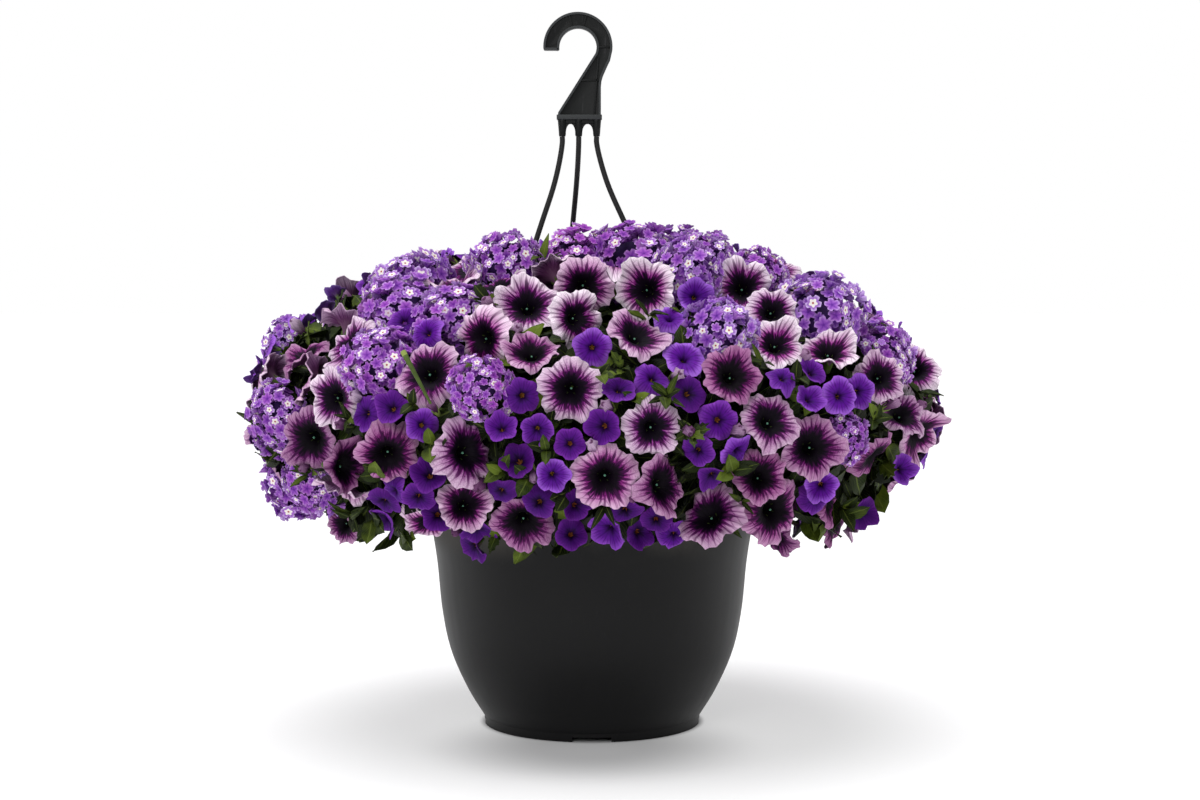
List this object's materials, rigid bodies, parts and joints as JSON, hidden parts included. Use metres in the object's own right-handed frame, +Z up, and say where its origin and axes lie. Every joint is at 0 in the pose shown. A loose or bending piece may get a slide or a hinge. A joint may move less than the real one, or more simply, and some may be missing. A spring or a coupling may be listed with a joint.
{
  "type": "petunia hanging basket",
  "caption": "Plastic hanging basket filled with soil and a mound of petunias, calibrachoas and verbena, with a stranded hanger and a hook.",
  "frame": {"origin": "middle of the pot's foot, on the surface that the foot stands on", "axes": "+Z up along the pot's axis, towards the hook; -Y is the front that the picture shows; +X to the right seen from the front"},
  "size_m": [0.6544, 0.6559, 0.6766],
  "materials": {
    "pot_plastic": "satin charcoal moulded plastic",
    "hanger_plastic": "satin charcoal moulded plastic",
    "soil": "loose dark potting mix",
    "leaves": "matte, slightly hairy leaf",
    "petunia_petals": "velvety petal, pale edge and purple throat",
    "calibrachoa_petals": "velvety violet petal",
    "verbena_petals": "velvety violet floret with a white eye"
  },
  "bodies": {
    "root": {"calibrachoa_spray_1": "calibrachoa_petals", "calibrachoa_spray_10": "calibrachoa_petals", "calibrachoa_spray_11": "calibrachoa_petals", "calibrachoa_spray_12": "calibrachoa_petals", "calibrachoa_spray_13": "calibrachoa_petals", "calibrachoa_spray_14": "calibrachoa_petals", "calibrachoa_spray_15": "calibrachoa_petals", "calibrachoa_spray_2": "calibrachoa_petals", "calibrachoa_spray_3": "calibrachoa_petals", "calibrachoa_spray_4": "calibrachoa_petals", "calibrachoa_spray_5": "calibrachoa_petals", "calibrachoa_spray_6": "calibrachoa_petals", "calibrachoa_spray_7": "calibrachoa_petals", "calibrachoa_spray_8": "calibrachoa_petals", "calibrachoa_spray_9": "calibrachoa_petals", "foliage_1": "leaves", "foliage_2": "leaves", "foliage_3": "leaves", "foliage_4": "leaves", "foliage_5": "leaves", "foliage_6": "leaves", "hanger_hook": "hanger_plastic", "hanger_strand_back": "hanger_plastic", "hanger_strand_left": "hanger_plastic", "hanger_strand_right": "hanger_plastic", "petunia_spray_1": "petunia_petals", "petunia_spray_10": "petunia_petals", "petunia_spray_11": "petunia_petals", "petunia_spray_12": "petunia_petals", "petunia_spray_13": "petunia_petals", "petunia_spray_14": "petunia_petals", "petunia_spray_15": "petunia_petals", "petunia_spray_2": "petunia_petals", "petunia_spray_3": "petunia_petals", "petunia_spray_4": "petunia_petals", "petunia_spray_5": "petunia_petals", "petunia_spray_6": "petunia_petals", "petunia_spray_7": "petunia_petals", "petunia_spray_8": "petunia_petals", "petunia_spray_9": "petunia_petals", "pot": "pot_plastic", "potting_soil": "soil", "verbena_spray_1": "verbena_petals", "verbena_spray_10": "verbena_petals", "verbena_spray_2": "verbena_petals", "verbena_spray_3": "verbena_petals", "verbena_spray_4": "verbena_petals", "verbena_spray_5": "verbena_petals", "verbena_spray_6": "verbena_petals", "verbena_spray_7": "verbena_petals", "verbena_spray_8": "verbena_petals", "verbena_spray_9": "verbena_petals"}
  },
  "joints": []
}
